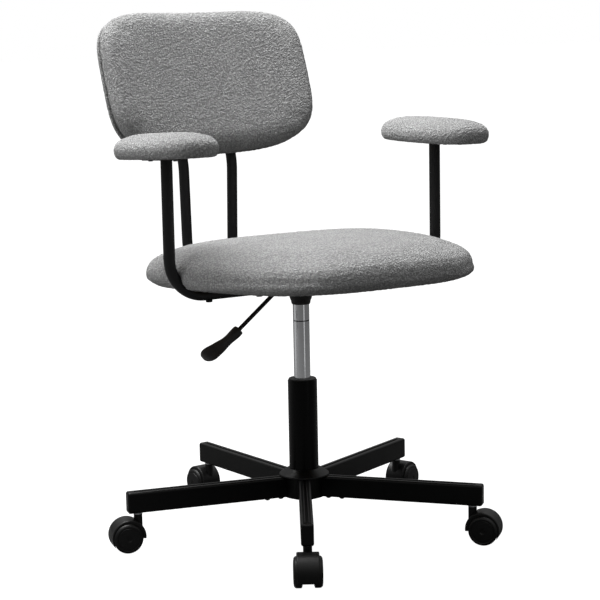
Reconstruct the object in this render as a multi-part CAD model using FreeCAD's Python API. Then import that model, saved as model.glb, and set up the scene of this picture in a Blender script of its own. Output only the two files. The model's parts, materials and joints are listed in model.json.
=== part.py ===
import FreeCAD, Part
import math
import os

# Height-adjustable swivel task chair on a five-leg caster base. Millimetres, +Z up.
# The origin is on the floor, on the axis of the gas-lift column. The sitter faces -Y,
# so -X is the sitter's right-hand side. The lift is drawn at the top of its stroke.

V = FreeCAD.Vector
UP = V(0, 0, 1)
parts = {}

# ---- driving dimensions -------------------------------------------------------------
# base
leg_count = 5
first_leg_turn = -30.4        # direction of leg 1, from -Y towards +X, degrees
caster_circle_r = 294.0       # caster stems from the column axis
leg_overhang = 18.0           # leg end beyond the stem
leg_w = 20.5
leg_bottom = 64.0
leg_top = 100.0
leg_wall = 1.8
hub_r = 36.0
skirt_r = 43.0
skirt_top = 112.5
pan_depth = 8.0               # how far the pan under the hub bulges down
pan_r = 77.0
leg_screw_radii = (43.0, 67.0)
leg_screw_r = 2.4
leg_groove_w = 4.0
leg_groove_depth = 3.5

# gas lift
column_r = 25.0
column_wall = 2.5
column_bottom = 66.0
column_top = 265.7
column_floor_t = 6.0
bush_bottom = 205.0
bush_lip = 2.4                # bush standing out of the column
stem_r = 14.0                 # chromed pressure tube
stem_bore_r = 12.0
stem_bottom = 195.0
stem_top = 414.0
stem_line_z = 368.0           # fine turned line
taper_start = 397.0
rod_r = 5.0
piston_r = 11.9
bearing_r = 14.0
washer_t = 2.0
ball_r = 1.55
ball_circle_r = 9.5
ball_count = 8
button_r = 3.0
button_head_r = 5.0
socket_r = 20.0
socket_low = 396.0
socket_top = 449.0
running_gap = 0.05

# seat, in its own plane: underside at z = 0, raked with the front up
rake = math.degrees(0.048)
seat_plane_z = 442.0          # height of the underside over the column axis
seat_centre_y = -66.0
seat_half_w = 240.3
seat_half_d = 235.8
seat_power = 3.3
seat_egg = 0.16               # how much wider the rear of the outline is
seat_edge_h = 16.3            # height of the widest line
seat_under_h = 25.3           # depth over which the lower edge would round to nothing
seat_crown_h = 56.9           # crown above that line
seat_roll = 2.94              # roundness of the side outline
board_inset = 30.0
board_t = 12.0
board_bolts_x = (-190.0, -96.0, 96.0, 190.0)

# plate under the seat
plate_half_x = 62.0
plate_front = -62.0
plate_rear = 66.0
plate_t = 2.5
plate_lip = 8.0
plate_rib_half = 7.0
plate_rib_depth = 6.5
plate_bolts = [(sx * 46.0, y) for sx in (-1, 1) for y in (-48.0, 52.0)]

# fixings
bolt_r = 3.0
bolt_head_r = 5.5
bolt_head_h = 3.5
nut_barrel_r = 3.95
nut_flange_r = 9.0

# arms
tube_r = 9.5
tube_wall = 1.5
arm_x = 259.5
arm_y = -26.5
arm_run_z = 433.8
arm_bend_r = 62.0
arm_run_start = 70.0
arm_plate_z = 658.5
arm_tilts = {-1: 3.5, 1: 0.0}   # front up: right arm, left arm
arm_plate = (30.0, 112.0, 3.0)  # width, length, thickness
arm_plate_shift = 6.0
arm_screw_y = (-32.0, 2.0, 56.0)
pad_board_inset = (16.0, 17.0)
pad_board_h = 9.0
pad_half_w = 58.0
pad_half_l = 122.0
pad_h = 40.0
pad_centre_y = -25.0
pad_power = 2.8

# backrest, in its own leaning frame: u across, v up the back, n towards the rear
recline = 20.3
back_y = 337.0
back_z = 760.0
back_half_w = 203.3
back_half_h = 131.6
back_power = 4.14
back_curve_r = 600.0
back_front_n = -25.0
back_rear_n = 25.0
back_tube_x = 45.9
back_tube_splay = 1.19
back_tube_start_y = 74.0
back_tube_rise_y = 319.0
back_tube_n = 33.2
back_tube_bends = [60.0, 90.0]
back_run_drop = 11.5          # centre of the tubes' run below the seat's plane
back_run_bolts_y = (88.0, 126.0)
splay_drop = 20.0             # the tubes splay about a line this far below the seat's plane
back_bolt_v = (-72.0, 38.0)

# caster
wheel_r = 25.0
wheel_w = 14.5
wheel_gap = 18.0
trail = 21.0
hood_w = 36.0
axle_r = 3.0
caster_stem_r = 5.45
hood_r = 29.0
hood_shift = (1.8, 1.5)       # hood centre behind and above the axle
neck_r = 7.2
knuckle_r = 7.0

# lever
lever_r = 3.5
lever_z = 424.0
lever_inner_x = 2.0           # inner end, over the release button
lever_pivot_x = -32.0
lever_pin_r = 1.5
lever_ear_t = 2.0
lever_ear_half = 6.0
lever_bend_x = -44.8
lever_bend_r = 14.0
lever_drop = 38.1
grip_start_x = -121.5
grip_end_x = -190.0
grip_hold = 16.0              # rod inside the grip, along X
grip_rise = 14.0              # how far the tip bends up off the rod's line
grip_turn = 35.0              # the paddle's face is turned towards the front
grip_sections = (             # share of the length, width, thickness
    (0.0, 17.0, 17.0), (0.04, 18.0, 18.0), (0.16, 18.0, 17.0), (0.32, 18.5, 13.0), (0.5, 23.0, 9.5),
    (0.7, 28.0, 7.5), (0.86, 28.5, 6.5), (0.95, 22.0, 5.0), (1.0, 12.0, 3.2),
)


# ---- small tools --------------------------------------------------------------------
def cyl(r, z0, z1, x=0.0, y=0.0):
    return Part.makeCylinder(r, z1 - z0, V(x, y, z0), UP)


def block(x0, x1, y0, y1, z0, z1):
    return Part.makeBox(x1 - x0, y1 - y0, z1 - z0, V(x0, y0, z0))


def turned(outline):
    # solid of revolution about Z from (radius, height) points
    points = [V(r, 0, z) for r, z in outline]
    face = Part.Face(Part.makePolygon(points + [points[0]]))
    return face.revolve(V(0, 0, 0), UP, 360)


def moved(shape, offset):
    result = shape.copy()
    result.translate(offset)
    return result


def spun(shape, angle, centre=V(0, 0, 0), axis=UP):
    result = shape.copy()
    result.rotate(centre, axis, angle)
    return result


def mirrored(shape):
    return shape.mirror(V(0, 0, 0), V(1, 0, 0))


def power(value, exponent):
    return math.copysign(abs(value) ** exponent, value)


def superellipse(a, b, p, z, egg=0.0, count=40):
    # closed smooth outline |x/a|^p + |y/b|^p = 1, wider towards +y by egg
    points = []
    for i in range(count):
        t = 2 * math.pi * i / count
        x = a * power(math.cos(t), 2 / p)
        y = b * power(math.sin(t), 2 / p)
        points.append(V(x * (1 + egg * y / b), y, z))
    curve = Part.BSplineCurve()
    curve.interpolate(points, PeriodicFlag=True)
    return Part.Wire(curve.toShape())


def slab(wire, height):
    return Part.Face(wire).extrude(V(0, 0, height))


def bent_tube(points, bend_radii, outer_r, wall):
    # tube along straight runs joined by tangent arcs
    edges = []
    start = points[0]
    for i, radius in enumerate(bend_radii):
        before, corner, after = points[i], points[i + 1], points[i + 2]
        into = (before - corner).normalize()
        out = (after - corner).normalize()
        half = into.getAngle(out) / 2
        tangent = radius / math.tan(half)
        middle = corner + (into + out).normalize() * (radius / math.sin(half) - radius)
        enter = corner + into * tangent
        leave = corner + out * tangent
        edges.append(Part.makeLine(start, enter))
        edges.append(Part.Arc(enter, middle, leave).toShape())
        start = leave
    edges.append(Part.makeLine(start, points[-1]))
    path = Part.Wire(edges)
    heading = points[1] - points[0]
    outer = Part.Wire(Part.makeCircle(outer_r, points[0], heading))
    solid = path.makePipeShell([outer], True, True)
    if wall >= outer_r:
        return solid
    inner = Part.Wire(Part.makeCircle(outer_r - wall, points[0], heading))
    return solid.cut(path.makePipeShell([inner], True, True))


def in_seat(shape):
    # from the seat's own plane to the chair's frame
    result = shape.copy()
    result.rotate(V(0, 0, 0), V(1, 0, 0), -rake)
    result.translate(V(0, 0, seat_plane_z))
    return result


def in_pad(shape, side):
    # from a pad's own plane to the chair's frame; side is -1 right, +1 left
    result = shape.copy()
    result.rotate(V(0, 0, 0), V(1, 0, 0), -arm_tilts[side])
    result.translate(V(side * arm_x, arm_y, arm_plate_z))
    return result


def in_back(shape):
    # own frame: x = u across, y = v up the back, z = -n towards the sitter
    result = shape.copy()
    result.rotate(V(0, 0, 0), V(1, 0, 0), 90 - recline)
    result.translate(V(0, back_y, back_z))
    return result


def back_point(u, v, n):
    lean = math.radians(recline)
    y = back_y + v * math.sin(lean) + n * math.cos(lean)
    z = back_z + v * math.cos(lean) - n * math.sin(lean)
    return V(u, y, z)


def leg_turn(k):
    return first_leg_turn + 360.0 / leg_count * k


# ---- base ---------------------------------------------------------------------------
def make_leg():
    # leg along -Y, pressed from sheet: two rolled top edges with a closing groove
    end = caster_circle_r + leg_overhang
    half = leg_w / 2
    bar = block(-half, half, -end, -hub_r + 8, leg_bottom, leg_top)
    rounded = []
    for edge in bar.Edges:
        centre = edge.CenterOfMass
        lengthwise = abs(edge.BoundBox.YLength) > 100
        at_end = abs(centre.y + end) < 0.01
        if lengthwise or at_end:
            rounded.append(edge)
    bar = bar.makeFillet(4.0, rounded)
    groove_half = leg_groove_w / 2
    groove_end = end - 15
    floor_z = leg_top - leg_groove_depth
    groove = block(-groove_half, groove_half, -groove_end, -hub_r + 9, floor_z, leg_top + 1)
    groove = groove.fuse(cyl(groove_half, floor_z, leg_top + 1, 0, -groove_end))
    bar = bar.cut(groove.removeSplitter())
    lips = []
    for edge in bar.Edges:
        box = edge.BoundBox
        in_groove = max(abs(box.XMin), abs(box.XMax)) < groove_half + 0.01
        on_top = box.ZMin > leg_top - 0.01
        lengthwise = box.YLength > 100
        at_round_end = box.YMin > -end + 5 and box.YMax < -hub_r + 7.9
        if in_groove and on_top and (lengthwise or at_round_end):
            lips.append(edge)
    bar = bar.makeFillet(2.2, lips)
    hollow = block(
        -half + leg_wall, half - leg_wall, -end + leg_wall + 2, -hub_r - 6,
        leg_bottom + leg_wall, floor_z - leg_wall,
    )
    hollow = hollow.makeFillet(2.2, hollow.Edges)
    bar = bar.cut(hollow)
    bar = bar.cut(cyl(7.0, leg_bottom - 1, leg_bottom + 24, 0, -caster_circle_r))
    for r in leg_screw_radii:
        bar = bar.cut(cyl(2.5, leg_bottom - 1, leg_bottom + 9, 0, -r))
    return bar.cut(cyl(hub_r + 0.1, leg_bottom - 1, leg_top + 1))


def make_base():
    leg = make_leg()
    screws = []
    sockets = []
    head = Part.makeSphere(6.0, V(0, 0, leg_bottom + 2.0)).common(cyl(6, leg_bottom - 6, leg_bottom))
    sleeve = cyl(7.6, leg_bottom - 2.2, leg_bottom).fuse(cyl(6.9, leg_bottom, leg_bottom + 23))
    sleeve = sleeve.cut(cyl(caster_stem_r + running_gap, leg_bottom - 3, leg_bottom + 24))
    for k in range(leg_count):
        turn = leg_turn(k)
        parts[f"leg_{k + 1}"] = spun(leg, turn)
        sockets.append(spun(moved(sleeve, V(0, -caster_circle_r, 0)), turn))
        for r in leg_screw_radii:
            screw = head.fuse(cyl(leg_screw_r, leg_bottom - 1, leg_bottom + 8)).removeSplitter()
            screws.append(spun(moved(screw, V(0, -r, 0)), turn))
    parts["leg_screws"] = Part.makeCompound(screws)
    parts["caster_sockets"] = Part.makeCompound(sockets)

    parts["hub_collar"] = turned([
        (column_r, leg_bottom), (hub_r, leg_bottom), (hub_r, leg_top), (skirt_r - 1, leg_top),
        (skirt_r, leg_top + 1), (skirt_r - 0.6, leg_top + 2.6), (column_r + 3.4, skirt_top - 0.8),
        (column_r + 2, skirt_top), (column_r, skirt_top),
    ])
    pan_centre = V(0, 0, leg_bottom - pan_depth + pan_r)
    dish = Part.makeSphere(pan_r, pan_centre)
    dish = dish.common(cyl(hub_r - 2, leg_bottom - pan_depth - 1, leg_bottom - 0.02))
    room = Part.makeSphere(pan_r - 2, pan_centre)
    parts["hub_pan"] = dish.cut(room.common(cyl(hub_r - 4, 40, leg_bottom + 10)))

    inner_r = column_r - column_wall
    tube = cyl(column_r, column_bottom, column_top)
    tube = tube.makeFillet(1.2, [e for e in tube.Edges if e.BoundBox.ZMin > column_top - 0.1])
    tube = tube.cut(cyl(inner_r, column_bottom + column_floor_t, column_top + 1))
    parts["column_tube"] = tube.cut(cyl(rod_r + running_gap, column_bottom - 1, column_top))

    bush_top = column_top + bush_lip
    bush = cyl(inner_r, bush_bottom, column_top).fuse(cyl(column_r - 1.5, column_top, bush_top))
    bush = bush.removeSplitter()
    bush = bush.makeFillet(1.0, [e for e in bush.Edges if e.BoundBox.ZMin > bush_top - 0.1])
    parts["guide_bush"] = bush.cut(cyl(stem_r + running_gap, bush_bottom - 1, bush_top + 1))


# ---- gas lift -----------------------------------------------------------------------
def make_lift():
    # ball thrust bearing between the column's floor and the piston rod
    race_z = column_bottom + column_floor_t + running_gap
    cage_low = race_z + washer_t + 0.6
    cage = cyl(bearing_r - 1, cage_low, cage_low + 2).cut(cyl(rod_r + 1, race_z, race_z + 9))
    for i in range(ball_count):
        ball = Part.makeSphere(ball_r, V(ball_circle_r, 0, race_z + 3.6))
        cage = cage.fuse(spun(ball, 360.0 / ball_count * i))
    lower = cyl(bearing_r, race_z, race_z + washer_t).cut(cyl(rod_r + 0.2, race_z - 1, race_z + 3))
    upper = moved(lower, V(0, 0, 5.2))
    parts["thrust_bearing"] = Part.makeCompound([lower, cage, upper])

    # piston rod with its piston, held under the column's floor by a clip in a groove
    piston_low = stem_bottom + 29
    rod = cyl(rod_r, column_bottom - 5, piston_low).fuse(cyl(piston_r, piston_low, piston_low + 12))
    rod = rod.removeSplitter()
    groove = cyl(rod_r + 1, column_bottom - 3, column_bottom - 1.4).cut(cyl(rod_r - 1, 50, 80))
    parts["piston_rod"] = rod.cut(groove)
    clip = cyl(rod_r + 3, column_bottom - 2.9, column_bottom - 1.5).cut(cyl(rod_r - 0.95, 50, 80))
    parts["rod_clip"] = clip.cut(block(0, 20, -3, 3, 50, 80))

    guide = cyl(stem_bore_r, stem_bottom + 1, stem_bottom + 27)
    parts["rod_guide"] = guide.cut(cyl(rod_r + running_gap, stem_bottom, stem_bottom + 28))

    # pressure tube with a fine turned line and a tapered top
    bore_top = stem_top - 29
    line_r = stem_r - 0.4
    stem = turned([
        (0, stem_bottom), (stem_r - 0.8, stem_bottom), (stem_r, stem_bottom + 0.8),
        (stem_r, stem_line_z - 0.5), (line_r, stem_line_z - 0.3), (line_r, stem_line_z + 0.3),
        (stem_r, stem_line_z + 0.5), (stem_r, taper_start), (stem_r - 1, stem_top), (0, stem_top),
    ])
    stem = stem.cut(cyl(stem_bore_r, stem_bottom - 1, bore_top))
    parts["pressure_tube"] = stem.cut(cyl(button_r + running_gap, bore_top - 1, stem_top + 1))
    head_z = stem_top + 4.9
    button = cyl(button_r, bore_top + 6, head_z).fuse(cyl(button_head_r, head_z, head_z + 1.3))
    parts["release_button"] = button.removeSplitter()

    # cup that takes the tapered top of the pressure tube, welded under the plate
    outer = turned([
        (0, socket_low), (socket_r - 4.8, socket_low), (socket_r - 4.1, socket_low + 0.8),
        (socket_r - 3.4, socket_low + 5), (socket_r - 1.4, socket_low + 10),
        (socket_r - 0.6, socket_low + 14), (socket_r, socket_low + 22), (socket_r, socket_top), (0, socket_top),
    ])
    taper = turned([
        (0, socket_low - 1), (stem_r, socket_low - 1), (stem_r, taper_start), (stem_r - 1, stem_top),
        (stem_r + 1.5, stem_top), (stem_r + 1.5, socket_top + 1), (0, socket_top + 1),
    ])
    cup = outer.cut(taper)
    cup = cup.cut(block(-30, 0, -lever_r - 1.5, lever_r + 1.5, stem_top + 2.5, socket_top + 1))
    below = in_seat(block(-100, 100, -100, 100, -60, -plate_t))
    parts["lift_socket"] = cup.common(below)


# ---- mechanism and lever ------------------------------------------------------------
def make_plate():
    plate = block(-plate_half_x, plate_half_x, plate_front, plate_rear, -plate_t, 0)
    corners = [e for e in plate.Edges if e.BoundBox.ZLength > 1 and e.BoundBox.XLength < 1]
    plate = plate.makeFillet(10.0, corners)
    for side in (-1, 1):
        x = side * (plate_half_x - plate_t / 2)
        lip = block(
            x - plate_t / 2, x + plate_t / 2, plate_front + 12, plate_rear - 12, -plate_lip, -plate_t + 1,
        )
        plate = plate.fuse(lip)
    for y0, y1 in ((plate_front + 8, -24), (24, plate_rear - 8)):
        rib = block(-plate_rib_half, plate_rib_half, y0, y1, -plate_rib_depth, -plate_t + 1)
        low_edges = [e for e in rib.Edges if e.BoundBox.ZMin < -plate_rib_depth + 0.1]
        plate = plate.fuse(rib.makeFillet(2.0, low_edges))
    for x, y in plate_bolts:
        plate = plate.cut(cyl(bolt_r + 0.2, -20, 5, x, y))
    parts["lift_plate"] = in_seat(plate.removeSplitter())

    # two ears under the plate and the pin that the lever rocks on
    ear_near = lever_r + 0.5
    ear_far = ear_near + lever_ear_t
    x0, x1 = lever_pivot_x - lever_ear_half, lever_pivot_x + lever_ear_half
    bracket = block(x0, x1, ear_near, ear_far, lever_z - 5, socket_top)
    bracket = bracket.fuse(block(x0, x1, -ear_far, -ear_near, lever_z - 5, socket_top))
    pin_half = ear_far + 1
    pin = Part.makeCylinder(lever_pin_r, 2 * pin_half, V(lever_pivot_x, -pin_half, lever_z), V(0, 1, 0))
    below = in_seat(block(-100, 100, -100, 100, -60, -plate_t))
    parts["lever_bracket"] = bracket.fuse(pin).common(below)


def make_lever():
    drop = math.radians(lever_drop)
    slope = math.tan(drop)
    corner = V(lever_bend_x, 0, lever_z)
    hold_x = grip_start_x - grip_hold
    hold = V(hold_x, 0, lever_z - (lever_bend_x - hold_x) * slope)
    rod = bent_tube([V(lever_inner_x, 0, lever_z), corner, hold], [lever_bend_r], lever_r, lever_r)
    hole = Part.makeCylinder(lever_pin_r + running_gap, 20, V(lever_pivot_x, -10, lever_z), V(0, 1, 0))
    parts["lever_rod"] = rod.cut(hole)

    # paddle grip: a round collar that flattens and turns into a broad, upturned tip
    length_x = grip_end_x - grip_start_x
    start_z = lever_z - (lever_bend_x - grip_start_x) * slope
    wires = []
    for share, width, thick in grip_sections:
        x = grip_start_x + length_x * share
        z = start_z + length_x * slope * share + grip_rise * share * share
        fall = slope - 2 * grip_rise * share / abs(length_x)
        heading = V(-1, 0, -fall).normalize()
        roll = math.radians(grip_turn * min(1, share / 0.5))
        flat = V(0, 1, 0).cross(heading)
        across = V(0, math.cos(roll), 0) + flat * math.sin(roll)
        upwards = flat * math.cos(roll) - V(0, math.sin(roll), 0)
        points = []
        for i in range(16):
            t = 2 * math.pi * i / 16
            side = width / 2 * power(math.cos(t), 0.9)
            lift = thick / 2 * power(math.sin(t), 0.9)
            points.append(V(x, 0, z) + across * side + upwards * lift)
        curve = Part.BSplineCurve()
        curve.interpolate(points, PeriodicFlag=True)
        wires.append(Part.Wire(curve.toShape()))
    grip = Part.makeLoft(wires, True, False)
    parts["lever_grip"] = grip.cut(parts["lever_rod"])


# ---- seat ---------------------------------------------------------------------------
def seat_outline(inset, z):
    wire = superellipse(seat_half_w - inset, seat_half_d - inset, seat_power, z, seat_egg)
    wire.translate(V(0, seat_centre_y, 0))
    return wire


def seat_fixings():
    # plate bolts, arm bolts and back-tube bolts, in the seat's plane: x, y, head height
    fixings = [(x, y, -plate_t) for x, y in plate_bolts]
    arm_depth = seat_plane_z - arm_run_z + tube_r - arm_y * math.tan(math.radians(rake))
    fixings += [(x, arm_y, -arm_depth) for x in board_bolts_x]
    for side in (-1, 1):
        for y in back_run_bolts_y:
            fixings.append((side * back_tube_x, y, -back_run_drop - tube_r))
    return fixings


def bolt(x, y, head_z, end_z):
    # round-headed bolt with a square drive, head down
    low = head_z - bolt_head_h
    head = cyl(bolt_head_r, low, head_z, x, y)
    head = head.makeFillet(1.6, [e for e in head.Edges if e.BoundBox.ZMax < low + 0.1])
    shank = cyl(bolt_r, head_z, end_z, x, y)
    drive = block(x - 2, x + 2, y - 2, y + 2, low - 0.1, low + 1.9)
    return head.fuse(shank).cut(drive).removeSplitter()


def tee_nut(x, y, barrel_z, flange_z, flange_t):
    nut = cyl(nut_barrel_r, barrel_z, flange_z, x, y)
    nut = nut.fuse(cyl(nut_flange_r, flange_z, flange_z + flange_t, x, y))
    return nut.cut(cyl(bolt_r, barrel_z - 1, flange_z + flange_t + 1, x, y)).removeSplitter()


def make_seat():
    board = slab(seat_outline(board_inset, 0.6), board_t)
    bolts = []
    nuts = []
    for x, y, head_z in seat_fixings():
        board = board.cut(cyl(bolt_r + 1, -1, board_t + 2, x, y))
        bolts.append(in_seat(bolt(x, y, head_z, board_t)))
        nuts.append(in_seat(tee_nut(x, y, 4, board_t + 0.7, 1.2)))
    board = in_seat(board)

    # crowned cushion, wrapped round the board's edge
    wires = []
    low_shares = (-seat_edge_h / seat_under_h, -0.5, -0.3, 0.0)
    high_shares = (0.3, 0.52, 0.7, 0.83, 0.92, 0.975)
    for share in low_shares + high_shares:
        height = seat_crown_h if share > 0 else seat_under_h
        scale = (1 - abs(share) ** seat_roll) ** (1 / seat_roll)
        z = seat_edge_h + share * height
        wire = superellipse(seat_half_w * scale, seat_half_d * scale, seat_power, z, seat_egg)
        wire.translate(V(0, seat_centre_y, 0))
        wires.append(wire)
    cushion = Part.makeLoft(wires, True, True)
    cushion = in_seat(cushion.cut(slab(seat_outline(board_inset - 0.4, -1), board_t + 4.2)))

    # the arm tubes lie half in the cushion's lower edge
    room = bent_tube(arm_tube_points(), [arm_bend_r], tube_r + 0.6, tube_r + 0.6)
    for side_room in (room, mirrored(room)):
        cushion = cushion.cut(side_room)
        board = board.cut(side_room)
    parts["seat_cushion"] = cushion
    parts["seat_board"] = board
    return bolts, nuts


# ---- arms ---------------------------------------------------------------------------
def arm_tube_points():
    # right arm: run under the seat, corner, top of the post
    run_end = V(-arm_run_start, arm_y, arm_run_z)
    corner = V(-arm_x, arm_y, arm_run_z)
    top = V(-arm_x, arm_y, arm_plate_z + 5)
    return [run_end, corner, top]


def on_right(shape, side):
    # a pad's own plane placed on the right arm, with the tilt of the given side
    result = spun(shape, -arm_tilts[side], V(0, 0, 0), V(1, 0, 0))
    return moved(result, V(-arm_x, arm_y, arm_plate_z))


def make_arm_tube(side):
    # built on the right and mirrored for the left; a plate under the pad, saddles under the seat
    plate_w, plate_l, plate_thick = arm_plate
    tube = bent_tube(arm_tube_points(), [arm_bend_r], tube_r, tube_wall)
    tube = tube.common(on_right(block(-60, 400, -160, 160, -500, -plate_thick + 0.5), side))
    rear, front = arm_plate_shift + plate_l / 2, arm_plate_shift - plate_l / 2
    plate = block(-plate_w / 2, plate_w / 2, front, rear, -plate_thick, 0)
    plate = plate.makeFillet(6.0, [e for e in plate.Edges if e.BoundBox.ZLength > 1])
    for y in arm_screw_y:
        plate = plate.cut(cyl(2.3, -9, 1, 0, y))
    tube = tube.fuse(on_right(plate, side))
    for x in board_bolts_x[:2]:
        saddle = block(x - 12, x + 12, arm_y - 7.5, arm_y + 7.5, arm_run_z + 6, arm_run_z + 20)
        saddle = saddle.common(in_seat(block(-300, 300, -300, 300, -60, 0)))
        core = Part.makeCylinder(tube_r - tube_wall / 2, 40, V(x - 20, arm_y, arm_run_z), V(1, 0, 0))
        tube = tube.fuse(saddle.cut(core))
        tube = tube.cut(in_seat(cyl(bolt_r + 0.2, -60, 5, x, arm_y)))
    tube = tube.removeSplitter()
    return tube if side < 0 else mirrored(tube)


def pad_outline(half_w, half_l, z):
    wire = superellipse(half_w, half_l, pad_power, z)
    wire.translate(V(0, pad_centre_y - arm_y, 0))
    return wire


def make_arms():
    parts["arm_tube_right"] = make_arm_tube(-1)
    parts["arm_tube_left"] = make_arm_tube(1)

    in_w, in_l = pad_board_inset
    board = slab(pad_outline(pad_half_w - in_w, pad_half_l - in_l, 0.0), pad_board_h)
    # soft pad: flat below, crowned above, rounded at both ends
    rows = [(0.0, 0.88), (0.12, 0.965), (0.36, 1.0), (0.6, 0.955), (0.8, 0.83), (0.93, 0.64), (1.0, 0.36)]
    wires = []
    for share, scale in rows:
        wires.append(pad_outline(pad_half_w * scale, pad_half_l - pad_half_w * (1 - scale), pad_h * share))
    soft = Part.makeLoft(wires, True, True)
    pocket = pad_outline(pad_half_w - in_w + 0.3, pad_half_l - in_l + 0.3, -1.0)
    soft = soft.cut(slab(pocket, pad_board_h + 1.3))
    screws = []
    head_z = -arm_plate[2]
    for y in arm_screw_y:
        screw = cyl(4.0, head_z - 2.2, head_z, 0, y)
        screw = screw.makeFillet(1.4, [e for e in screw.Edges if e.BoundBox.ZMax < head_z - 2])
        screws.append(screw.fuse(cyl(2.0, head_z, pad_board_h - 2, 0, y)).removeSplitter())
        board = board.cut(cyl(2.0, -1, pad_board_h - 2, 0, y))
    all_screws = []
    for side, name in ((-1, "right"), (1, "left")):
        parts[f"arm_board_{name}"] = in_pad(board, side)
        parts[f"arm_pad_{name}"] = in_pad(soft, side)
        all_screws += [in_pad(screw, side) for screw in screws]
    parts["arm_screws"] = Part.makeCompound(all_screws)


# ---- backrest -----------------------------------------------------------------------
def shell_layer(near_n, far_n, inset):
    # curved layer between two n values, hollow towards the sitter
    reach = 400.0
    outer = Part.makeCylinder(back_curve_r + far_n, reach, V(0, -reach / 2, back_curve_r), V(0, 1, 0))
    inner = Part.makeCylinder(back_curve_r + near_n, reach, V(0, -reach / 2, back_curve_r), V(0, 1, 0))
    outline = superellipse(back_half_w - inset, back_half_h - inset, back_power, -60.0)
    return outer.cut(inner).common(slab(outline, 160.0))


def back_tube_points():
    fall = math.tan(math.radians(rake))
    start_z = seat_plane_z - back_tube_start_y * fall - back_run_drop
    corner_z = seat_plane_z - back_tube_rise_y * fall - back_run_drop
    lean = math.radians(recline)
    v = (back_tube_rise_y - back_y - back_tube_n * math.cos(lean)) / math.sin(lean)
    return [
        V(0, back_tube_start_y, start_z),
        V(0, back_tube_rise_y, corner_z),
        back_point(0, v, back_tube_n),
        back_point(0, back_bolt_v[1] + 26, back_tube_n),
    ]


def splayed(shape, side):
    # each back tube leans outwards a little about its own run
    pivot = V(0, 0, seat_plane_z - splay_drop)
    result = spun(shape, side * back_tube_splay, pivot, V(0, 1, 0))
    return moved(result, V(side * back_tube_x, 0, 0))


def back_bolt_u(side, v):
    # where a splayed tube crosses the backrest at height v
    rise = back_point(0, v, 0).z - seat_plane_z + splay_drop
    return side * (back_tube_x + rise * math.tan(math.radians(back_tube_splay)))


def outer_rim(disc, out):
    # the circular edge of a disc on the side that out points to
    return max((e for e in disc.Edges if len(e.Vertexes) == 1), key=lambda e: e.CenterOfMass.dot(out))


def tube_plug(point, out):
    # moulded plug in an open tube end; out points away from the tube
    barrel = Part.makeCylinder(tube_r - tube_wall, 8, point - out * 7.9, out)
    disc = Part.makeCylinder(tube_r - 0.3, 1.8, point + out * 0.05, out)
    disc = disc.makeFillet(0.8, [outer_rim(disc, out)])
    return barrel.fuse(disc).removeSplitter()


def make_back_tube(side):
    run_start = back_tube_start_y
    tube = bent_tube(back_tube_points(), back_tube_bends, tube_r, tube_wall)
    saddle = block(-7.5, 7.5, run_start + 4, 138, -back_run_drop + 6, 0)
    core = Part.makeCylinder(tube_r - tube_wall / 2, 90, V(0, run_start - 14, -back_run_drop), V(0, 1, 0))
    saddle = in_seat(saddle.cut(core))
    tube = splayed(tube, side).fuse(moved(saddle, V(side * back_tube_x, 0, 0)))
    for y in back_run_bolts_y:
        tube = tube.cut(in_seat(cyl(bolt_r + 0.2, -60, 5, side * back_tube_x, y)))
    under_seat = in_seat(block(-200, 200, -100, 300, -300, 0))
    behind_seat = block(-200, 200, 200, 700, 300, 1000)
    tube = tube.common(under_seat.fuse(behind_seat))
    for v in back_bolt_v:
        tube = tube.cut(in_back(cyl(bolt_r + 0.2, -80, 10, back_bolt_u(side, v), v)))
    return tube.removeSplitter()


def make_back():
    points = back_tube_points()
    low_out = (points[0] - points[1]).normalize()
    high_out = (points[-1] - points[-2]).normalize()
    plugs = []
    for side, name in ((-1, "right"), (1, "left")):
        parts[f"back_tube_{name}"] = make_back_tube(side)
        plugs.append(splayed(tube_plug(points[0], low_out), side))
        plugs.append(splayed(tube_plug(points[-1], high_out), side))
        plugs.append(tube_plug(V(side * arm_run_start, arm_y, arm_run_z), V(-side, 0, 0)))
    parts["tube_plugs"] = Part.makeCompound(plugs)

    bolts = []
    nuts = []
    head_z = -back_tube_n - tube_r
    cushion = shell_layer(back_front_n, 11.6, 0.0)
    board = shell_layer(12.0, 20.0, 14.0)
    cover = shell_layer(20.4, back_rear_n, 13.0)
    for side in (-1, 1):
        for v in back_bolt_v:
            u = back_bolt_u(side, v)
            bolts.append(in_back(bolt(u, v, head_z, -9.5)))
            nuts.append(in_back(tee_nut(u, v, -17, -8.6, 1.0)))
            cushion = cushion.cut(cyl(nut_flange_r + 2, -13.0, -6.5, u, v))
            board = board.cut(cyl(bolt_r + 1, -40, 40, u, v))
            cover = cover.cut(cyl(bolt_r + 0.2, -40, 40, u, v))
    parts["back_board"] = in_back(board)
    parts["back_cover"] = in_back(cover)
    parts["back_cushion"] = in_back(cushion)
    return bolts, nuts


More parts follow.
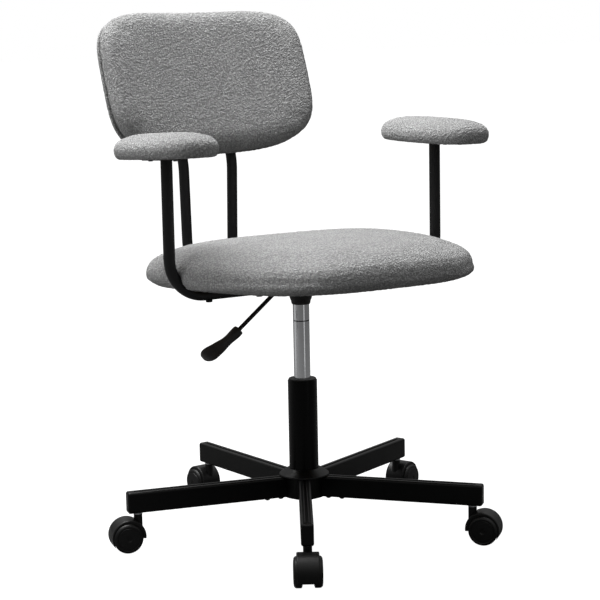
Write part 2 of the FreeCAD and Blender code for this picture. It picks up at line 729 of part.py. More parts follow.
# ---- casters ------------------------------------------------------------------------
def make_caster():
    # own frame: stem axis on Z, trail towards -Y, axle along X
    half = hood_w / 2
    axle = V(0, -trail, wheel_r)
    back_shift, up_shift = hood_shift
    shell_centre = V(-half, -trail + back_shift, wheel_r + up_shift)
    shell = Part.makeCylinder(hood_r, hood_w, shell_centre, V(1, 0, 0))
    shell = shell.makeFillet(2.0, [e for e in shell.Edges if len(e.Vertexes) == 1])
    room = Part.makeCylinder(wheel_r + 0.6, hood_w + 2, axle - V(half + 1, 0, 0), V(1, 0, 0))
    web_w = wheel_gap - 1.0
    web = Part.makeCylinder(wheel_r + 0.7, web_w, axle - V(web_w / 2, 0, 0), V(1, 0, 0))
    hood = shell.cut(room).fuse(web)
    hood = hood.cut(block(-30, 30, -trail, 40, -5, wheel_r - 2))
    hood = hood.cut(block(-30, 30, -90, -trail + 0.1, -5, wheel_r - 13))
    knuckle = Part.makeCylinder(knuckle_r, web_w, axle - V(web_w / 2, 0, 0), V(1, 0, 0))
    hood = hood.fuse(knuckle)
    neck = cyl(neck_r, wheel_r + 10, leg_bottom - 2.6)
    neck = neck.makeFillet(0.8, [e for e in neck.Edges if e.BoundBox.ZMin > leg_bottom - 3])
    hood = hood.fuse(neck).removeSplitter()
    hood = hood.cut(cyl(caster_stem_r, wheel_r + 14, 90))
    bore = Part.makeCylinder(axle_r, 60, axle - V(30, 0, 0), V(1, 0, 0))
    hood = hood.cut(bore)

    pin_half = wheel_gap / 2 + wheel_w - 3
    pin = Part.makeCylinder(axle_r, 2 * pin_half, axle - V(pin_half, 0, 0), V(1, 0, 0))
    stem = cyl(caster_stem_r, wheel_r + 14, leg_bottom + 22)
    stem = stem.makeFillet(1.5, [e for e in stem.Edges if e.BoundBox.ZMin > leg_bottom + 21])
    ring = cyl(caster_stem_r + 1, leg_bottom + 14, leg_bottom + 16).cut(cyl(caster_stem_r - 0.6, 60, 100))
    stem = stem.cut(ring)
    pins = Part.makeCompound([pin, stem])

    # wheel about +X: flat tread, rounded shoulder, shallow dish on the outer face with a hub boss
    near = wheel_gap / 2
    far = near + wheel_w
    bore_r = axle_r + running_gap
    start = [V(near, 0, bore_r), V(near, 0, 21.5), V(near + 0.4, 0, 22.4)]
    start += [V(near + 1.2, 0, wheel_r - 0.4), V(near + 2.2, 0, wheel_r), V(near + 8.6, 0, wheel_r)]
    lines = Part.makePolygon(start).Edges
    shoulder = Part.Arc(
        V(near + 8.6, 0, wheel_r), V(near + 12.1, 0, wheel_r - 1.35), V(far - 0.7, 0, wheel_r - 4.4)
    ).toShape()
    face = [
        V(far - 0.7, 0, wheel_r - 4.4), V(far - 1.2, 0, wheel_r - 5.4), V(far - 1.2, 0, wheel_r - 6.2),
        V(far - 0.3, 0, wheel_r - 6.8), V(far, 0, 9.0), V(far, 0, 4.5), V(far - 0.8, 0, 3.6),
        V(far - 0.8, 0, 0), V(far - 2.4, 0, 0), V(far - 2.4, 0, bore_r), V(near, 0, bore_r),
    ]
    lines += [shoulder] + Part.makePolygon(face).Edges
    wheel = Part.Face(Part.Wire(lines)).revolve(V(0, 0, 0), V(1, 0, 0), 360)
    wheel = moved(wheel, axle)
    return hood, pins, wheel, mirrored(wheel)


def make_casters():
    pieces = dict(zip(("hood", "pins", "wheel_a", "wheel_b"), make_caster()))
    for k in range(leg_count):
        for name, shape in pieces.items():
            placed = moved(shape, V(0, -caster_circle_r, 0))
            parts[f"caster_{name}_{k + 1}"] = spun(placed, leg_turn(k))


# ---- build --------------------------------------------------------------------------
make_base()
make_lift()
make_plate()
make_lever()
seat_bolts, seat_nuts = make_seat()
make_arms()
back_bolts, back_nuts = make_back()
parts["frame_bolts"] = Part.makeCompound(seat_bolts + back_bolts)
parts["tee_nuts"] = Part.makeCompound(seat_nuts + back_nuts)
make_casters()

os.makedirs("parts", exist_ok=True)
for name, shape in parts.items():
    shape.exportStep(f"parts/{name}.step")
print(len(parts), "nodes")
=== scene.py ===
import bpy
import bmesh
import json
import math
import numpy as np
from mathutils import Matrix, Vector, noise

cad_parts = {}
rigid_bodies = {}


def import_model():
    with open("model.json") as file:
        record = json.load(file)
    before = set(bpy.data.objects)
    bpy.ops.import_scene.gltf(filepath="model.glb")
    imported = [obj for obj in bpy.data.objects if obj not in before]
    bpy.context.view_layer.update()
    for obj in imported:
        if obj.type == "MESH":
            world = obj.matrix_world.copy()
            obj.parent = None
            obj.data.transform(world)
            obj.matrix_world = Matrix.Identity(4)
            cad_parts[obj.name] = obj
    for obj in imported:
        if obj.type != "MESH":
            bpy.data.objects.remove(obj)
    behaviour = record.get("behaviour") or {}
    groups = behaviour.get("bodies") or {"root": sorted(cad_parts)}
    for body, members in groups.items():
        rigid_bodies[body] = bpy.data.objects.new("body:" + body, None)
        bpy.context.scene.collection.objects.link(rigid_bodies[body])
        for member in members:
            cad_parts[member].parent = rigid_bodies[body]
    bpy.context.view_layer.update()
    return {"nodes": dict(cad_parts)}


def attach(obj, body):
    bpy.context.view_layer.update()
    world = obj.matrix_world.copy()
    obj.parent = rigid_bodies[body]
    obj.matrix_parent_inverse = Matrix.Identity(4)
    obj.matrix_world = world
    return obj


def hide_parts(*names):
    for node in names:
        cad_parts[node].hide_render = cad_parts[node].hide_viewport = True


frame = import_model()
scene = bpy.context.scene
nodes = frame["nodes"]
mm = 0.001
print("frame loaded,", len(nodes), "nodes")


def linear(code):
    # sRGB hex to the linear colour that the shaders take
    parts = [int(code[i:i + 2], 16) / 255 for i in (1, 3, 5)]
    flat = [c / 12.92 if c <= 0.04045 else ((c + 0.055) / 1.055) ** 2.4 for c in parts]
    return (*flat, 1.0)


def deselectAll():
    if bpy.context.object and bpy.context.object.mode != "OBJECT":
        bpy.ops.object.mode_set(mode="OBJECT")
    for thing in scene.objects:
        thing.select_set(False)


def makeActive(thing):
    deselectAll()
    thing.select_set(True)
    bpy.context.view_layer.objects.active = thing


# finishes

def addNode(tree, kind, settings, links):
    node = tree.nodes.new(kind)
    for name, value in settings.items():
        if name in node.inputs:
            node.inputs[name].default_value = value
        else:
            setattr(node, name, value)
    for name, source in links.items():
        tree.links.new(source, node.inputs[name])
    return node


def newFinish(name, shaderSettings):
    finish = bpy.data.materials.new(name)
    finish.use_nodes = True
    tree = finish.node_tree
    shader = tree.nodes["Principled BSDF"]
    for socket, value in shaderSettings.items():
        shader.inputs[socket].default_value = value
    place = addNode(tree, "ShaderNodeTexCoord", {}, {}).outputs["Object"]
    return finish, tree, shader, place


def boucleFinish(settings):
    # polyester boucle, knitted from looped yarn: small curled loops with painted shade at the roots between
    # them, so the tips read lighter; soft bloom
    finish, tree, shader, place = newFinish("polyesterBoucle", {
        "Roughness": 0.95, "Specular IOR Level": 0.18,
        "Sheen Weight": settings["sheen"], "Sheen Roughness": 0.45,
    })
    drift = addNode(tree, "ShaderNodeTexNoise", {
        "Scale": 1 / settings["driftSize"], "Detail": 1.0,
    }, {"Vector": place})
    centred = addNode(tree, "ShaderNodeVectorMath", {"operation": "SUBTRACT"}, {0: drift.outputs["Color"]})
    centred.inputs[1].default_value = (0.5, 0.5, 0.5)
    shift = addNode(tree, "ShaderNodeVectorMath", {
        "operation": "SCALE", "Scale": settings["drift"],
    }, {0: centred.outputs[0]})
    curled = addNode(tree, "ShaderNodeVectorMath", {"operation": "ADD"}, {0: place, 1: shift.outputs[0]})
    loops = addNode(tree, "ShaderNodeTexVoronoi", {
        "feature": "SMOOTH_F1", "Scale": 1 / settings["loopSize"], "Smoothness": 0.35,
    }, {"Vector": curled.outputs[0]})
    tips = addNode(tree, "ShaderNodeMapRange", {
        "From Min": settings["loopEdge"], "From Max": settings["loopCore"],
    }, {"Value": loops.outputs["Distance"]})
    fibres = addNode(tree, "ShaderNodeTexNoise", {
        "Scale": 1 / settings["fibreSize"], "Detail": 2.0, "Distortion": 1.4,
    }, {"Vector": place})
    fuzz = addNode(tree, "ShaderNodeMapRange", {
        "From Min": 0.3, "From Max": 0.7,
    }, {"Value": fibres.outputs["Fac"]})
    height = addNode(tree, "ShaderNodeMath", {"operation": "MULTIPLY_ADD"}, {
        0: fuzz.outputs["Result"], 2: tips.outputs["Result"]})
    height.inputs[1].default_value = settings["fuzzShare"]
    shade = addNode(tree, "ShaderNodeMapRange", {
        "From Min": settings["shadeRange"][0], "From Max": settings["shadeRange"][1],
    }, {"Value": height.outputs[0]})
    # painted shade: the colour darkens from tip to root with loop height, standing in for the shade in the
    # pits between loops
    yarnAndPitShade = addNode(tree, "ShaderNodeMix", {"data_type": "RGBA"}, {"Factor": shade.outputs["Result"]})
    yarnAndPitShade.inputs[6].default_value = linear(settings["rootShadeColour"])
    yarnAndPitShade.inputs[7].default_value = linear(settings["tipColour"])
    patches = addNode(tree, "ShaderNodeTexNoise", {
        "Scale": 1 / settings["patchSize"], "Detail": 2.0,
    }, {"Vector": place})
    melange = addNode(tree, "ShaderNodeMapRange", {
        "From Min": 0.3, "From Max": 0.7,
        "To Min": 1 - settings["patchDepth"], "To Max": 1 + settings["patchDepth"],
    }, {"Value": patches.outputs["Fac"]})
    toned = addNode(tree, "ShaderNodeVectorMath", {"operation": "SCALE"}, {
        0: yarnAndPitShade.outputs[2], "Scale": melange.outputs["Result"]})
    tree.links.new(toned.outputs[0], shader.inputs["Base Color"])
    bump = addNode(tree, "ShaderNodeBump", {
        "Strength": settings["bump"], "Distance": settings["loopSize"] * settings["pileDepth"],
    }, {"Height": height.outputs[0]})
    tree.links.new(bump.outputs[0], shader.inputs["Normal"])
    return finish


def coatedFinish(name, settings):
    # painted or moulded surface: one colour, a grain in the gloss and in the bump
    finish, tree, shader, place = newFinish(name, {
        "Base Color": linear(settings["colour"]), "Specular IOR Level": settings.get("specular", 0.5),
        "Metallic": settings.get("metallic", 0.0),
    })
    grain = addNode(tree, "ShaderNodeTexNoise", {
        "Scale": 1 / settings["grain"], "Detail": 3.0,
    }, {"Vector": place})
    wear = addNode(tree, "ShaderNodeTexNoise", {
        "Scale": 1 / settings["wearSize"], "Detail": 4.0,
    }, {"Vector": place})
    both = addNode(tree, "ShaderNodeMath", {"operation": "MULTIPLY_ADD"}, {
        0: grain.outputs["Fac"], 2: wear.outputs["Fac"]})
    both.inputs[1].default_value = 0.5
    gloss = addNode(tree, "ShaderNodeMapRange", {
        "From Min": 0.4, "From Max": 1.1, "To Min": settings["rough"][0], "To Max": settings["rough"][1],
    }, {"Value": both.outputs[0]})
    tree.links.new(gloss.outputs["Result"], shader.inputs["Roughness"])
    bump = addNode(tree, "ShaderNodeBump", {
        "Strength": settings["bump"], "Distance": settings["grain"] * 0.15,
    }, {"Height": grain.outputs["Fac"]})
    tree.links.new(bump.outputs[0], shader.inputs["Normal"])
    return finish


boucle = boucleFinish({
    "loopSize": 3.7 * mm, "loopEdge": 0.62, "loopCore": 0.1, "pileDepth": 0.9, "shadeRange": (0.2, 1.1),
    "fibreSize": 1.7 * mm, "fuzzShare": 0.7, "driftSize": 5 * mm, "drift": 4.5 * mm,
    # the darker root colour is painted shade in the pits; the tip colour is the yarn's own grey
    "patchSize": 34 * mm, "patchDepth": 0.05, "rootShadeColour": "#868686", "tipColour": "#aeaeae",
    "bump": 1.0, "sheen": 0.08,
})
finishes = {
    # polyester powder coat, satin: faint orange peel breaks the long highlights
    "base_steel": coatedFinish("satinPowderCoat", {
        "colour": "#020202", "specular": 0.16, "grain": 1.1 * mm, "wearSize": 60 * mm,
        "rough": (0.3, 0.42), "bump": 0.12}),
    # stoved enamel on the column: harder gloss
    "column_steel": coatedFinish("stovedEnamel", {
        "colour": "#010101", "specular": 0.12, "grain": 2.2 * mm, "wearSize": 45 * mm,
        "rough": (0.2, 0.3), "bump": 0.05}),
    # fine-textured powder coat on the tubes: soft, broken highlights
    "frame_steel": coatedFinish("texturedPowderCoat", {
        "colour": "#0b0b0c", "specular": 0.35, "grain": 0.9 * mm, "wearSize": 50 * mm,
        "rough": (0.42, 0.55), "bump": 0.25}),
    # polished hard chrome on the pressure tube: mirror streaks down its length
    "chrome": coatedFinish("hardChrome", {
        "colour": "#e2e3e5", "metallic": 1.0, "grain": 9 * mm, "wearSize": 60 * mm,
        "rough": (0.1, 0.14), "bump": 0.0}),
    # zinc plate on screws and pins: pale, slightly mottled gloss
    "bright_steel": coatedFinish("zincPlate", {
        "colour": "#a8a9ab", "metallic": 1.0, "grain": 0.8 * mm, "wearSize": 8 * mm,
        "rough": (0.3, 0.5), "bump": 0.06}),
    # moulded nylon: the spark-eroded mould gives a fine even grain
    "black_nylon": coatedFinish("mouldedNylon", {
        "colour": "#040404", "specular": 0.25, "grain": 0.8 * mm, "wearSize": 20 * mm,
        "rough": (0.36, 0.48), "bump": 0.2}),
    # nylon wheels: the same grain, scuffed a little by rolling
    "wheel_nylon": coatedFinish("wheelNylon", {
        "colour": "#050505", "specular": 0.25, "grain": 0.9 * mm, "wearSize": 14 * mm,
        "rough": (0.34, 0.5), "bump": 0.15}),
    # polypropylene grip: fine grain, a shade lighter than the nylon
    "grip_plastic": coatedFinish("gripPolypropylene", {
        "colour": "#171718", "grain": 0.8 * mm, "wearSize": 18 * mm,
        "rough": (0.34, 0.46), "bump": 0.2}),
    # raw birch plywood: matt and pale
    "plywood": coatedFinish("birchPly", {
        "colour": "#b08d62", "grain": 1.5 * mm, "wearSize": 25 * mm,
        "rough": (0.6, 0.75), "bump": 0.2}),
    "boucle": boucle,
}
for node in nodes.values():
    for i, current in enumerate(node.data.materials):
        slotName = current.name.split(".")[0] if current else ""
        if slotName not in finishes:
            print("no finish for", node.name, slotName)
        else:
            node.data.materials[i] = finishes[slotName]
# painted shadow: a darker band round the pressure tube at the turned line, a little wider than its groove
chromeTree = finishes["chrome"].node_tree
chromeShader = chromeTree.nodes["Principled BSDF"]
turnedLineShade = {"z": 368 * mm, "half": 0.9 * mm, "colour": "#3a3a3b"}
tubePlace = addNode(chromeTree, "ShaderNodeTexCoord", {}, {})
tubeHeight = addNode(chromeTree, "ShaderNodeSeparateXYZ", {}, {0: tubePlace.outputs["Object"]})
inLineShadow = addNode(chromeTree, "ShaderNodeMath", {"operation": "COMPARE"}, {0: tubeHeight.outputs["Z"]})
inLineShadow.inputs[1].default_value = turnedLineShade["z"]
inLineShadow.inputs[2].default_value = turnedLineShade["half"]
lineShadowMix = addNode(chromeTree, "ShaderNodeMix", {"data_type": "RGBA"}, {"Factor": inLineShadow.outputs[0]})
lineShadowMix.inputs[6].default_value = chromeShader.inputs["Base Color"].default_value[:]
# the band's colour is painted shadow, not a colour of the chrome
lineShadowMix.inputs[7].default_value = linear(turnedLineShade["colour"])
chromeTree.links.new(lineShadowMix.outputs[2], chromeShader.inputs["Base Color"])
# black oxide on the frame bolts: dull heads on the black tubes
blackened = coatedFinish("blackOxide", {
    "colour": "#0d0d0e", "specular": 0.35, "grain": 0.8 * mm, "wearSize": 8 * mm,
    "rough": (0.35, 0.5), "bump": 0.08})
nodes["frame_bolts"].data.materials[0] = blackened
print("finishes given to the frame")


# padded pieces

def ring(halfX, halfY, power, egg, height, centreY, count=144):
    outline = []
    for i in range(count):
        turn = 2 * math.pi * i / count
        c, s = math.cos(turn), math.sin(turn)
        x = halfX * math.copysign(abs(c) ** (2 / power), c)
        y = halfY * math.copysign(abs(s) ** (2 / power), s)
        outline.append(Vector((x * (1 + egg * y / halfY), y + centreY, height)))
    return outline


def padFromRings(name, rings):
    mesh = bpy.data.meshes.new(name)
    build = bmesh.new()
    rows = [[build.verts.new(p) for p in outline] for outline in rings]
    for low, high in zip(rows, rows[1:]):
        for i in range(len(low)):
            j = (i + 1) % len(low)
            build.faces.new((low[i], low[j], high[j], high[i]))
    build.faces.new(list(reversed(rows[0])))
    build.faces.new(rows[-1])
    bmesh.ops.triangulate(build, faces=[f for f in build.faces if len(f.verts) > 4])
    bmesh.ops.recalc_face_normals(build, faces=build.faces)
    build.to_mesh(mesh)
    build.free()
    pad = bpy.data.objects.new(name, mesh)
    scene.collection.objects.link(pad)
    return pad


def points(pad):
    flat = np.empty(len(pad.data.vertices) * 3)
    pad.data.vertices.foreach_get("co", flat)
    return flat.reshape(-1, 3)


def setPoints(pad, where):
    pad.data.vertices.foreach_set("co", where.astype(np.float32).ravel())
    pad.data.update()


def remesh(pad, voxel):
    makeActive(pad)
    pad.data.remesh_voxel_size = voxel
    bpy.ops.object.voxel_remesh()


foam = {"steps": 20, "quality": 4, "bending": 0.6}


def fillFoam(pad, settings, held):
    # foam pushes the cover out by up to the cap; held picks the points that are stapled down
    makeActive(pad)
    rest = points(pad)
    group = pad.vertex_groups.new(name="stapled")
    group.add([int(i) for i in np.nonzero(held(rest))[0]], 1.0, "REPLACE")
    cover = pad.modifiers.new("cover", "CLOTH")
    cover.settings.vertex_group_mass = "stapled"
    cover.settings.use_pressure = True
    cover.settings.uniform_pressure_force = settings["pressure"]
    cover.settings.effector_weights.gravity = 0
    cover.settings.quality = foam["quality"]
    cover.settings.tension_stiffness = settings["stiffness"]
    cover.settings.compression_stiffness = settings["stiffness"]
    cover.settings.bending_stiffness = foam["bending"]
    cover.collision_settings.use_collision = False
    for step in range(1, foam["steps"] + 1):
        scene.frame_set(step)
    bpy.ops.object.modifier_apply(modifier=cover.name)
    scene.frame_set(1)
    moved = points(pad) - rest
    length = np.maximum(np.linalg.norm(moved, axis=1), 1e-9)
    share = np.minimum(1, settings["cap"] / length)
    setPoints(pad, rest + moved * share[:, None])
    pad.vertex_groups.clear()


def fitBox(pad, low, high, axes=(0, 1, 2)):
    # brings the swollen cover back to the room that it has
    now = points(pad)
    for axis in axes:
        a, b = now[:, axis].min(), now[:, axis].max()
        now[:, axis] = low[axis] + (now[:, axis] - a) * (high[axis] - low[axis]) / (b - a)
    setPoints(pad, now)


def refine(pad, levels=1):
    makeActive(pad)
    extra = pad.modifiers.new("finer", "SUBSURF")
    extra.levels = levels
    extra.render_levels = levels
    bpy.ops.object.modifier_apply(modifier=extra.name)
    bpy.ops.object.shade_smooth()


def roughenOutline(pad, size, depth):
    # loops stand unevenly, so the outline isn't a clean curve
    now = points(pad)
    normals = np.empty(len(now) * 3)
    pad.data.vertices.foreach_get("normal", normals)
    normals = normals.reshape(-1, 3)
    lift = np.array([noise.noise(Vector(p) / size) for p in now])
    setPoints(pad, now + normals * (lift * depth)[:, None])


def place(pad, turn, shift):
    pad.data.transform(Matrix.Translation(shift) @ Matrix.Rotation(turn, 4, "X"))
    pad.data.update()


def finishPad(pad, body, replaced):
    pad.data.materials.clear()
    pad.data.materials.append(boucle)
    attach(pad, body)
    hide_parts(*replaced)


seat = {
    "half": (240.3 * mm, 235.8 * mm), "power": 3.3, "egg": 0.16, "centreY": -66 * mm,
    "edge": 18.5 * mm, "crown": 54.7 * mm, "roll": 2.94, "under": 28.5 * mm,
    "rake": 0.048, "planeZ": 442 * mm, "voxel": 4.6 * mm,
    "pressure": 4.0, "stiffness": 12, "cap": 2.4 * mm, "stapleBand": 24 * mm,
    "boardInset": 29.6 * mm, "boardRoom": 16.8 * mm, "start": 5 * mm, "lowShare": -0.64,
    "shares": (-0.5, -0.3, 0.0, 0.2, 0.4, 0.55, 0.68, 0.79, 0.87, 0.93, 0.97, 0.99),
    "fuzz": (5 * mm, 0.7 * mm),
}


def seatRings():
    a, b = seat["half"]
    small = seat["start"]
    rings = []
    for height in (seat["boardRoom"], 0.0):
        rings.append((a - seat["boardInset"], b - seat["boardInset"], height))
    for share in (seat["lowShare"], *seat["shares"]):
        wide = (1 - abs(share) ** seat["roll"]) ** (1 / seat["roll"])
        height = seat["edge"] + share * (seat["crown"] - small if share > 0 else seat["under"])
        inset = small * min(1, (share - seat["lowShare"]) * 2)
        rings.append((a * wide - inset, b * wide - inset, max(height, 0)))
    return [ring(x, y, seat["power"], seat["egg"], z, seat["centreY"]) for x, y, z in rings]


def tubePress(where, tube):
    # the arm tube lies in the cushion's lower edge and presses it in
    now = where.copy()
    for side in (-1, 1):
        x = now[:, 0] * side
        y = now[:, 1] - tube["y"]
        z = now[:, 2]
        cx, cz = tube["x"] - tube["bend"], tube["runZ"] + tube["bend"]
        dx, dz = x - cx, z - cz
        inCorner = (dx > 0) & (dz < 0)
        upright = (dx > 0) & (dz >= 0)
        radius = np.where(inCorner, np.hypot(dx, dz), np.where(upright, dx, -dz))
        depth = tube["bend"] - radius
        reach = tube["r"] + tube["gap"]
        t = np.abs(y)
        trough = np.sqrt(np.maximum(reach ** 2 - t ** 2, 0))
        need = np.where(t < reach / math.sqrt(2), trough, math.sqrt(2) * reach - t)
        near = (t < tube["spread"] * reach) & (x > 0) & (dz < tube["riseLimit"])
        push = np.where(near, np.maximum(need - depth, 0), 0)
        ux = np.where(inCorner, -dx / np.maximum(radius, 1e-9), np.where(upright, -1.0, 0.0))
        uz = np.where(inCorner, -dz / np.maximum(radius, 1e-9), np.where(upright, 0.0, 1.0))
        now[:, 0] += push * ux * side
        now[:, 2] += push * uz
    return now


armTube = {
    "x": 259.5 * mm, "y": -26.5 * mm, "runZ": 433.8 * mm, "bend": 62 * mm, "r": 9.5 * mm,
    "gap": 0.7 * mm, "spread": 5, "riseLimit": 40 * mm,
}
seatPad = padFromRings("seatCushion", seatRings())
remesh(seatPad, seat["voxel"])
fillFoam(seatPad, seat, lambda p: (p[:, 2] < 2 * mm) | (
    (p[:, 2] < seat["boardRoom"] + 1 * mm)
    & (np.abs(p[:, 0]) < seat["half"][0] - seat["stapleBand"])
    & (np.abs(p[:, 1] - seat["centreY"]) < seat["half"][1] - seat["stapleBand"])))
widest = max(p.x for p in ring(*seat["half"], seat["power"], seat["egg"], 0, 0))
fitBox(
    seatPad, (-widest, seat["centreY"] - seat["half"][1], 0),
    (widest, seat["centreY"] + seat["half"][1], seat["edge"] + seat["crown"]))
refine(seatPad)
place(seatPad, -seat["rake"], Vector((0, 0, seat["planeZ"])))
setPoints(seatPad, tubePress(points(seatPad), armTube))
roughenOutline(seatPad, *seat["fuzz"])
finishPad(seatPad, "seat", ["seat_cushion"])
print("seat cushion done")

back = {
    "half": (203.3 * mm, 131.6 * mm), "power": 4.14, "curve": 600 * mm, "recline": 20.3,
    "y": 337 * mm, "z": 760 * mm, "voxel": 3.6 * mm, "rearVoxel": 3.2 * mm,
    "pressure": 4.0, "stiffness": 15, "cap": 0.9 * mm, "stapleZ": -9 * mm, "depth": (-11.2 * mm, 26 * mm),
    "fuzz": (5 * mm, 0.7 * mm), "rearFuzz": (5 * mm, 0.5 * mm),
    # inset from the outline and depth, in mm, for the front pad and the rear cover
    "frontRows": ((17, -11.2), (12, -10.6), (6, -10.0), (2.6, -9.4), (0.8, -7.6), (0, -4), (0, 0), (0.6, 6),
                  (2.6, 11.5), (6.5, 16.5), (12.5, 20.6), (21, 23.2), (34, 24.6), (60, 25), (100, 25)),
    "rearRows": ((13.4, -20.4), (13.4, -15.4), (8, -15.0), (3.5, -15.2), (1, -16.2), (0, -18.4), (0.4, -20.8),
                 (2, -22.7), (5.5, -24), (12, -24.7), (30, -25), (50, -25)),
}


def bowBack(pad):
    # hollow towards the sitter
    now = points(pad)
    radius = back["curve"] - now[:, 2]
    now[:, 2] = back["curve"] - np.sqrt(radius ** 2 - now[:, 0] ** 2)
    setPoints(pad, now)


def backRings(rows):
    a, b = back["half"]
    return [ring(a - i * mm, b - i * mm, back["power"], 0, z * mm, 0) for i, z in rows]


lean = math.radians(90 - back["recline"])
backPad = padFromRings("backCushion", backRings(back["frontRows"]))
remesh(backPad, back["voxel"])
fillFoam(backPad, back, lambda p: p[:, 2] < back["stapleZ"])
fitBox(
    backPad, (-back["half"][0], -back["half"][1], back["depth"][0]),
    (back["half"][0], back["half"][1], back["depth"][1]))
refine(backPad)
bowBack(backPad)
place(backPad, lean, Vector((0, back["y"], back["z"])))
roughenOutline(backPad, *back["fuzz"])
finishPad(backPad, "seat", ["back_cushion"])

rearPad = padFromRings("backCover", backRings(back["rearRows"]))
remesh(rearPad, back["rearVoxel"])
refine(rearPad)
bowBack(rearPad)
place(rearPad, lean, Vector((0, back["y"], back["z"])))
roughenOutline(rearPad, *back["rearFuzz"])
finishPad(rearPad, "seat", ["back_cover"])
print("backrest done")

arm = {
    "half": (58 * mm, 122 * mm), "power": 2.8, "height": 40 * mm, "x": 259.5 * mm, "y": -26.5 * mm,
    "centreY": 1.5 * mm, "plateZ": 658.5 * mm, "tilt": {-1: 3.5, 1: 0.0}, "voxel": 3 * mm,
    "pressure": 4.0, "stiffness": 15, "cap": 1.4 * mm, "stapleZ": 3 * mm, "fuzz": (5 * mm, 0.6 * mm),
    # share of the height and of the half width
    "rows": ((0.0, 0.86), (0.05, 0.93), (0.14, 0.975), (0.28, 0.997), (0.4, 1.0), (0.52, 0.985), (0.64, 0.94),
             (0.75, 0.865), (0.84, 0.76), (0.91, 0.63), (0.96, 0.47), (0.99, 0.28)),
    "board": (42.3 * mm, 105.3 * mm, 10.3 * mm),
}
for sideName, side in (("Right", -1), ("Left", 1)):
    a, b = arm["half"]
    rings = [ring(arm["board"][0], arm["board"][1], arm["power"], 0, arm["board"][2], arm["centreY"]),
             ring(arm["board"][0], arm["board"][1], arm["power"], 0, 0, arm["centreY"])]
    for h, w in arm["rows"]:
        rings.append(ring(a * w, b - a * (1 - w), arm["power"], 0, arm["height"] * h, arm["centreY"]))
    armPad = padFromRings("armPad" + sideName, rings)
    remesh(armPad, arm["voxel"])
    fillFoam(armPad, arm, lambda p: p[:, 2] < arm["stapleZ"])
    fitBox(armPad, (-a, arm["centreY"] - b, 0), (a, arm["centreY"] + b, arm["height"]))
    refine(armPad)
    place(armPad, -math.radians(arm["tilt"][side]), Vector((side * arm["x"], arm["y"], arm["plateZ"])))
    roughenOutline(armPad, *arm["fuzz"])
    finishPad(armPad, "seat", ["arm_pad_" + sideName.lower()])
print("arm pads done")

# floor, light and camera
studio = {
    "floorSize": 60, "horizon": 0.12, "zenith": 1.45, "fall": 1.5, "seen": 1.0,
    "floorColour": "#f6f6f6", "floorBounce": "#5c5c5c", "glow": 0.88, "glowStrength": 1.14,
}
deselectAll()
bpy.ops.mesh.primitive_plane_add(size=studio["floorSize"], location=(0, 0, 0))
floor = bpy.context.object
floor.name = "studioFloor"
# matt paper that is nearly self-lit to the camera and grey to the light that bounces off it
paper, paperTree, paperShader, paperPlace = newFinish("seamlessPaper", {
    "Base Color": linear(studio["floorColour"]), "Roughness": 0.95, "Specular IOR Level": 0.0})
paperGrain = addNode(paperTree, "ShaderNodeTexNoise", {"Scale": 220.0, "Detail": 3.0}, {"Vector": paperPlace})
paperBump = addNode(paperTree, "ShaderNodeBump", {
    "Strength": 0.05, "Distance": 1 * mm,
}, {"Height": paperGrain.outputs["Fac"]})
paperTree.links.new(paperBump.outputs[0], paperShader.inputs["Normal"])
seenRays = addNode(paperTree, "ShaderNodeLightPath", {}, {})
dimmed = addNode(paperTree, "ShaderNodeBsdfDiffuse", {"Color": linear(studio["floorBounce"])}, {})
paperMix = addNode(paperTree, "ShaderNodeMixShader", {}, {0: seenRays.outputs["Is Camera Ray"]})
paperGlow = addNode(paperTree, "ShaderNodeEmission", {"Strength": studio["glowStrength"]}, {})
paperSeen = addNode(paperTree, "ShaderNodeMixShader", {}, {1: paperShader.outputs[0], 2: paperGlow.outputs[0]})
paperSeen.inputs[0].default_value = studio["glow"]
paperTree.links.new(dimmed.outputs[0], paperMix.inputs[1])
paperTree.links.new(paperSeen.outputs[0], paperMix.inputs[2])
paperTree.links.new(paperMix.outputs[0], paperTree.nodes["Material Output"].inputs[0])
floor.data.materials.append(paper)

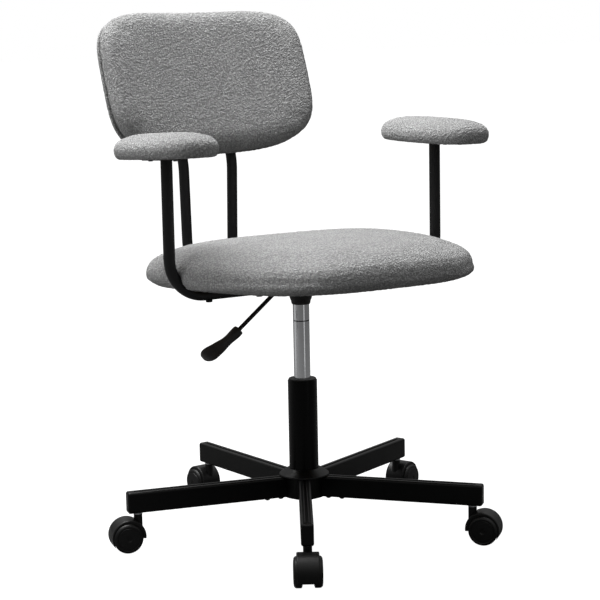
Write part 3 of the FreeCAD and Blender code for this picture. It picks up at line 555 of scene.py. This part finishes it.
# bright overhead, dark round the sides, as under one large ceiling softbox
world = bpy.data.worlds.new("studio")
world.use_nodes = True
scene.world = world
worldTree = world.node_tree
skyNode = worldTree.nodes["Background"]
skyPlace = addNode(worldTree, "ShaderNodeTexCoord", {}, {})
skyHeight = addNode(worldTree, "ShaderNodeSeparateXYZ", {}, {0: skyPlace.outputs["Generated"]})
rise = addNode(worldTree, "ShaderNodeMath", {"operation": "MAXIMUM"}, {0: skyHeight.outputs["Z"]})
rise.inputs[1].default_value = 0
curve = addNode(worldTree, "ShaderNodeMath", {"operation": "POWER"}, {0: rise.outputs[0]})
curve.inputs[1].default_value = studio["fall"]
ceiling = addNode(worldTree, "ShaderNodeMapRange", {
    "To Min": studio["horizon"], "To Max": studio["zenith"],
}, {"Value": curve.outputs[0]})
rays = addNode(worldTree, "ShaderNodeLightPath", {}, {})
level = addNode(worldTree, "ShaderNodeMix", {"data_type": "FLOAT"}, {"Factor": rays.outputs["Is Camera Ray"]})
worldTree.links.new(ceiling.outputs["Result"], level.inputs[2])
level.inputs[3].default_value = studio["seen"]
worldTree.links.new(level.outputs[0], skyNode.inputs["Strength"])
skyNode.inputs["Color"].default_value = (1, 1, 1, 1)


def addSoftbox(name, spot, aim, size, power):
    light = bpy.data.lights.new(name, "AREA")
    light.shape = "RECTANGLE"
    light.size, light.size_y = size
    light.energy = power
    lamp = bpy.data.objects.new(name, light)
    scene.collection.objects.link(lamp)
    lamp.location = spot
    lamp.rotation_euler = (Vector(aim) - Vector(spot)).to_track_quat("-Z", "Y").to_euler()
    return lamp


addSoftbox("overheadSoftbox", (-0.3, 0.65, 2.6), (0, 0, 0.4), (1.6, 1.6), 135)
# one strip gives the chrome its streak, the other its pale left edge; the fill lights only matt surfaces
addSoftbox("streakStrip", (0.22, -1.38, 0.15), (0, 0, 0.3), (0.3, 0.5), 0.22)
addSoftbox("edgeStrip", (-1.06, 0.92, 0.15), (0, 0, 0.3), (0.7, 0.5), 0.3)
sideFill = addSoftbox("sideFill", (-2.8, 0.6, 0.9), (0, 0, 0.5), (0.8, 1.4), 32)
sideFill.visible_glossy = False

camSet = {
    "spot": (-1.563, -2.602, 0.887), "pitch": 0.1584, "turn": -0.541, "roll": -0.0192,
    "lens": 109.1, "sensor": 36, "shiftX": -0.0016,
}
camData = bpy.data.cameras.new("camera")
camData.lens = camSet["lens"]
camData.sensor_width = camSet["sensor"]
camData.shift_x = camSet["shiftX"]
camera = bpy.data.objects.new("camera", camData)
scene.collection.objects.link(camera)
camera.location = camSet["spot"]
aimTurn = Matrix.Rotation(camSet["turn"], 4, "Z") @ Matrix.Rotation(math.pi / 2 - camSet["pitch"], 4, "X")
camera.rotation_euler = (aimTurn @ Matrix.Rotation(camSet["roll"], 4, "Z")).to_euler()
scene.camera = camera
scene.view_settings.view_transform = "Standard"
print("studio done")
